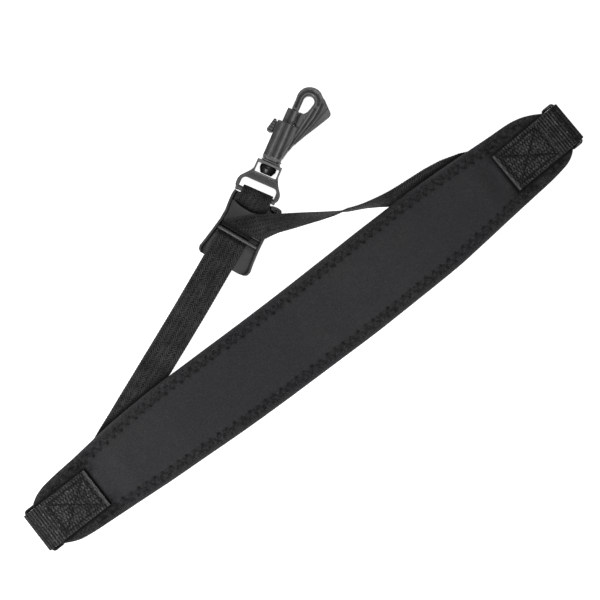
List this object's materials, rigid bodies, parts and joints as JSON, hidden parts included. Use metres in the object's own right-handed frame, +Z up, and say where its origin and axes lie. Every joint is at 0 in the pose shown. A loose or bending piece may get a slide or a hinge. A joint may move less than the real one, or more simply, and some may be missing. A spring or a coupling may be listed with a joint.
{
  "type": "saxophone neck strap",
  "caption": "Padded instrument neck strap: a crescent neck band with stitched web tabs, a narrow web with a moulded slide adjuster, and a swivel snap hook with a spring gate.",
  "frame": {"origin": "middle of the strap's footprint, on the surface that it lies on", "axes": "+X along the neck band, +Y from the band towards the snap hook, +Z up from the surface"},
  "size_m": [0.3876, 0.1368, 0.0213],
  "materials": {
    "band_fabric": "fine matt knit",
    "foam": "matt foam",
    "back_fabric": "matt non-slip",
    "thread": "twisted thread",
    "wide_web": "ribbed weave",
    "narrow_web": "herringbone weave",
    "ring": "satin",
    "moulded_plastic": "satin moulded",
    "stud": "gloss",
    "spring_steel": "drawn wire"
  },
  "bodies": {
    "band_and_web": {"pad_front_panel": "band_fabric", "pad_foam_core": "foam", "pad_back_panel": "back_fabric", "edge_seam_thread": "thread", "left_tab": "wide_web", "right_tab": "wide_web", "left_tab_thread": "thread", "right_tab_thread": "thread", "left_ring": "ring", "right_ring": "ring", "strap_left_leg": "narrow_web", "strap_right_leg": "narrow_web", "strap_hook_loop": "narrow_web", "leg_end_bartacks": "thread"},
    "adjuster": {"slide_adjuster": "moulded_plastic"},
    "swivel": {"swivel_frame": "moulded_plastic"},
    "hook": {"swivel_stud": "stud", "hook_body": "moulded_plastic", "gate_spring": "spring_steel"},
    "gate": {"gate": "moulded_plastic"}
  },
  "joints": [
    {"name": "adjuster_slide", "type": "slide", "parent": "band_and_web", "child": "adjuster", "axis": [-0.9252, -0.3795, 0], "range_m": [0, 0.044], "deforming": ["strap_hook_loop", "strap_right_leg"]},
    {"name": "swivel_fold", "type": "hinge", "parent": "band_and_web", "child": "swivel", "pos_m": [0.02505, 0.03644, 0.0048], "axis": [0.4818, -0.8763, 0], "range_deg": [-85, 85]},
    {"name": "hook_swivel", "type": "hinge", "parent": "swivel", "child": "hook", "pos_m": [0.04191, 0.04582, 0.0048], "axis": [0.8763, 0.4818, 0], "continuous": true},
    {"name": "gate_slide", "type": "slide", "parent": "hook", "child": "gate", "axis": [-0.8763, -0.4818, 0], "range_m": [0, 0.007], "stiffness_N_per_m": 300, "springref_m": -0.006, "deforming": ["gate_spring"]}
  ]
}
